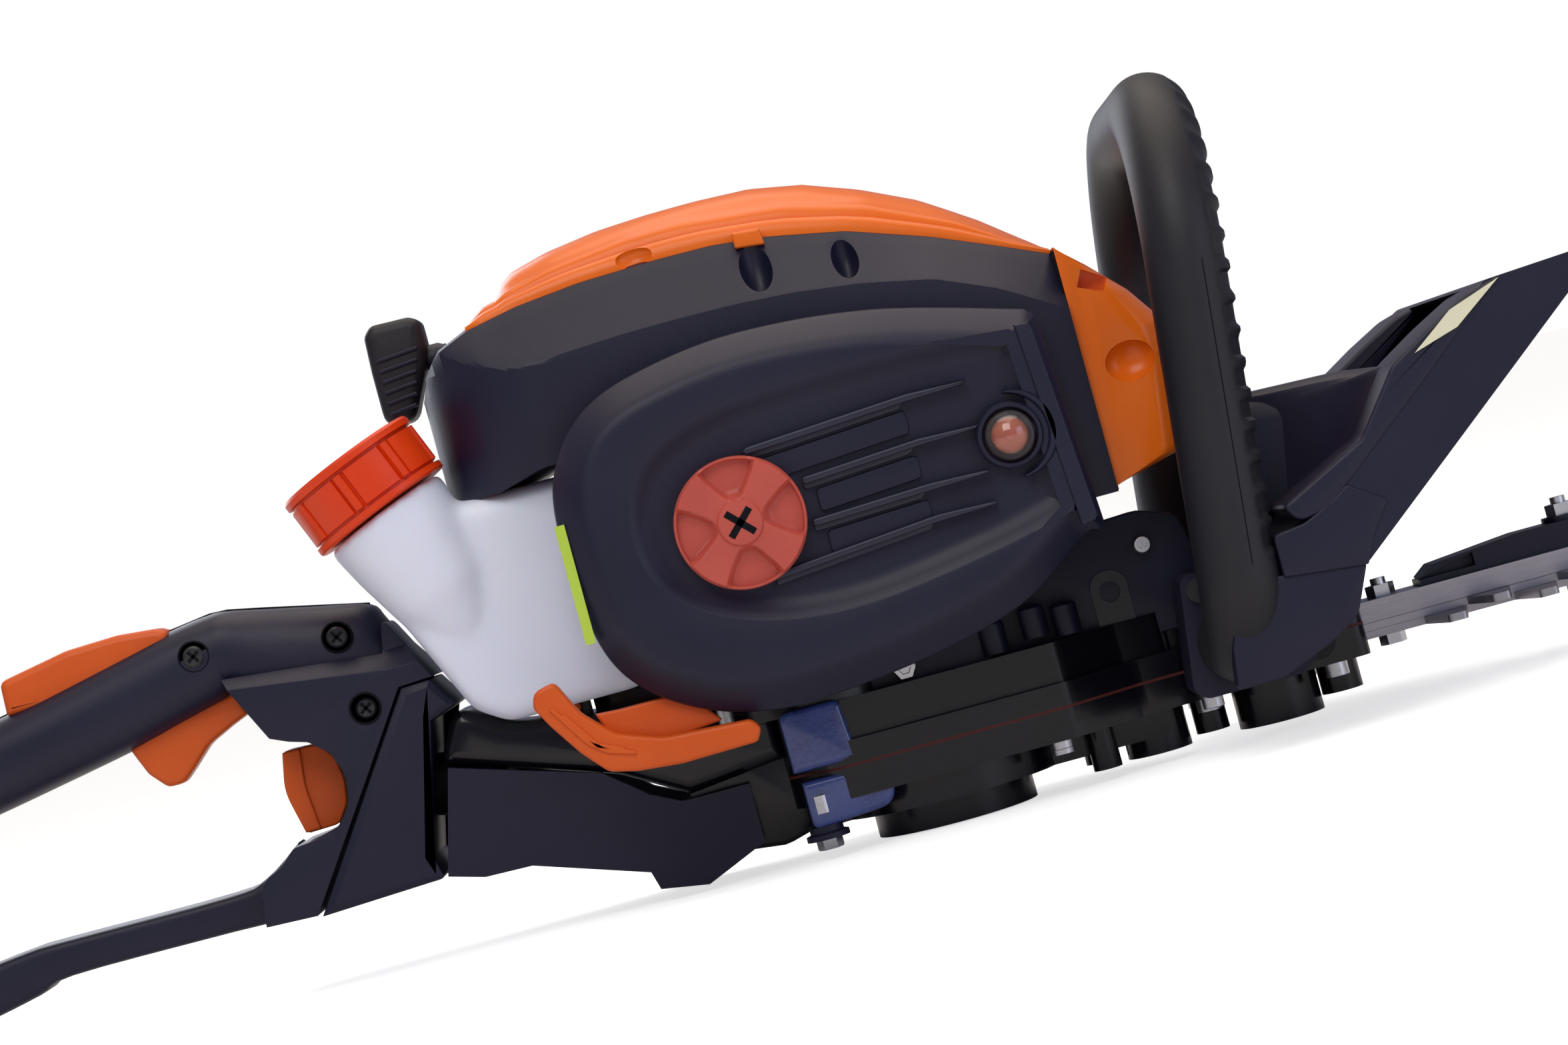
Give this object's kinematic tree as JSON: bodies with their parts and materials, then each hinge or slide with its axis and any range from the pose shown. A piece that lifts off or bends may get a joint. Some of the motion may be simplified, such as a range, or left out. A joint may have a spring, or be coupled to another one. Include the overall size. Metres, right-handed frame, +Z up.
{
  "type": "hedge trimmer",
  "caption": "Petrol hedge trimmer with a two-sided reciprocating blade, swivelling loop rear handle, front bail handle, hand guard and recoil starter.",
  "frame": {"origin": "middle of the machine's bounding box at the level of the gear case's underside", "axes": "+X forward along the blade, +Y to the machine's left, +Z up"},
  "size_m": [1.1934, 0.23, 0.251],
  "materials": {
    "black_plastic": "fine grained",
    "orange_plastic": "satin",
    "red_plastic": "satin",
    "control_plastic": "satin",
    "tank_plastic": "translucent",
    "case_paint": "gloss",
    "gasket": "matte",
    "blade_steel": "ground",
    "zinc_steel": "zinc plated",
    "machined_steel": "machined",
    "cast_aluminium": "cast",
    "rubber": "matte",
    "foam": "open foam",
    "bulb": "clear",
    "cord": "braided",
    "label": "plain sticker",
    "hot_steel": "heat tinted"
  },
  "bodies": {
    "machine": {"air_filter_cover": "black_plastic", "av_mounts": "rubber", "blade_bolts": "zinc_steel", "carburettor": "cast_aluminium", "case_bearings": "machined_steel", "crankcase": "cast_aluminium", "cylinder": "cast_aluminium", "debris_deflector": "black_plastic", "engine_shroud": "black_plastic", "filter_base": "black_plastic", "filter_element": "foam", "foot_screws": "zinc_steel", "front_cover": "orange_plastic", "front_handle": "black_plastic", "fuel_lines": "rubber", "fuel_tank": "tank_plastic", "gearbox_bolts": "zinc_steel", "gearbox_gasket": "gasket", "gearbox_lower": "case_paint", "gearbox_upper": "case_paint", "guard_cowl": "black_plastic", "guide_bar": "blade_steel", "hand_guard": "black_plastic", "handle_bracket": "black_plastic", "handle_feet": "black_plastic", "ignition_coil": "black_plastic", "ignition_lead": "rubber", "labels": "label", "muffler": "hot_steel", "recoil_spring": "machined_steel", "spark_plug": "zinc_steel", "starter_housing": "black_plastic", "swivel_spigot": "machined_steel", "top_cover": "orange_plastic"},
    "crank": {"crankshaft": "machined_steel", "flywheel": "cast_aluminium", "clutch_shoes": "machined_steel"},
    "piston": {"piston": "cast_aluminium", "connecting_rod": "machined_steel"},
    "gear": {"drive_gear": "machined_steel"},
    "drum": {"clutch_drum": "machined_steel"},
    "lower_blade": {"blade_lower": "blade_steel", "conrod_lower": "machined_steel"},
    "upper_blade": {"blade_upper": "blade_steel", "conrod_upper": "machined_steel"},
    "pulley": {"starter_pulley": "black_plastic"},
    "pull_grip": {"starter_grip": "black_plastic", "starter_rope": "cord"},
    "knob": {"filter_knob": "control_plastic"},
    "primer": {"primer_bulb": "bulb"},
    "choke": {"choke_lever": "control_plastic"},
    "cap": {"fuel_cap": "red_plastic"},
    "rear_handle": {"rear_handle_right": "black_plastic", "rear_handle_left": "black_plastic", "lever_pins": "machined_steel", "handle_screws": "zinc_steel", "handle_collar": "black_plastic"},
    "trigger": {"throttle_trigger": "control_plastic"},
    "throttle_lockout": {"throttle_lock": "control_plastic"},
    "swivel_lock": {"swivel_lock_button": "control_plastic"}
  },
  "joints": [
    {"name": "crankshaft_spin", "type": "hinge", "parent": "machine", "child": "crank", "pos_m": [-0.20283, 0, 0.115], "axis": [0, 0, 1], "continuous": true},
    {"name": "piston_slide", "type": "slide", "parent": "machine", "child": "piston", "axis": [1, 0, 0], "range_m": [-0.028, 0]},
    {"name": "gear_spin", "type": "hinge", "parent": "machine", "child": "gear", "pos_m": [-0.16033, 0, 0.0275], "axis": [0, 0, 1], "continuous": true},
    {"name": "clutch_drum_spin", "type": "hinge", "parent": "machine", "child": "drum", "pos_m": [-0.20283, 0, 0.06], "axis": [0, 0, 1], "continuous": true},
    {"name": "lower_blade_slide", "type": "slide", "parent": "machine", "child": "lower_blade", "axis": [1, 0, 0], "range_m": [-0.007, 0.007]},
    {"name": "upper_blade_slide", "type": "slide", "parent": "machine", "child": "upper_blade", "axis": [1, 0, 0], "range_m": [-0.007, 0.007]},
    {"name": "starter_pull", "type": "slide", "parent": "machine", "child": "pull_grip", "axis": [-1, 0, 0], "range_m": [0, 0.08], "stiffness_N_per_m": 20, "springref_m": -0.1},
    {"name": "starter_pulley_spin", "type": "hinge", "parent": "machine", "child": "pulley", "pos_m": [-0.20283, 0, 0.222], "axis": [0, 0, 1], "range_deg": [0, 180]},
    {"name": "filter_knob_turn", "type": "hinge", "parent": "machine", "child": "knob", "pos_m": [-0.21033, -0.098, 0.129], "axis": [0, 1, 0], "continuous": true},
    {"name": "primer_press", "type": "slide", "parent": "machine", "child": "primer", "axis": [0, 1, 0], "range_m": [0, 0.004], "stiffness_N_per_m": 600, "springref_m": -0.001},
    {"name": "choke_turn", "type": "hinge", "parent": "machine", "child": "choke", "pos_m": [-0.23533, -0.03, 0.055], "axis": [0, 0, 1], "range_deg": [0, 20]},
    {"name": "fuel_cap_turn", "type": "hinge", "parent": "machine", "child": "cap", "pos_m": [-0.33733, -0.042, 0.1675], "axis": [-0.3746, 0, 0.9272], "continuous": true},
    {"name": "rear_handle_swivel", "type": "hinge", "parent": "machine", "child": "rear_handle", "pos_m": [-0.34233, 0, 0.062], "axis": [0.9659, 0, -0.2588], "range_deg": [-90, 90]},
    {"name": "throttle_trigger_pull", "type": "hinge", "parent": "rear_handle", "child": "trigger", "pos_m": [-0.41733, 0, 0.1215], "axis": [0, 1, 0], "range_deg": [0, 10], "stiffness_Nm_per_rad": 1, "springref_deg": -17.19},
    {"name": "throttle_lock_press", "type": "hinge", "parent": "rear_handle", "child": "throttle_lockout", "pos_m": [-0.43833, 0, 0.1345], "axis": [0, 1, 0], "range_deg": [-7, 0], "stiffness_Nm_per_rad": 1, "springref_deg": 17.19},
    {"name": "swivel_lock_press", "type": "slide", "parent": "rear_handle", "child": "swivel_lock", "axis": [1, 0, 0], "range_m": [0, 0.005], "stiffness_N_per_m": 600, "springref_m": -0.003}
  ],
  "couplings": [
    {"joint": "clutch_drum_spin", "follows": "gear_spin", "ratio": -4.6667},
    {"joint": "upper_blade_slide", "follows": "lower_blade_slide", "ratio": -1},
    {"joint": "starter_pulley_spin", "follows": "starter_pull", "rad_per_m": 38.76}
  ]
}
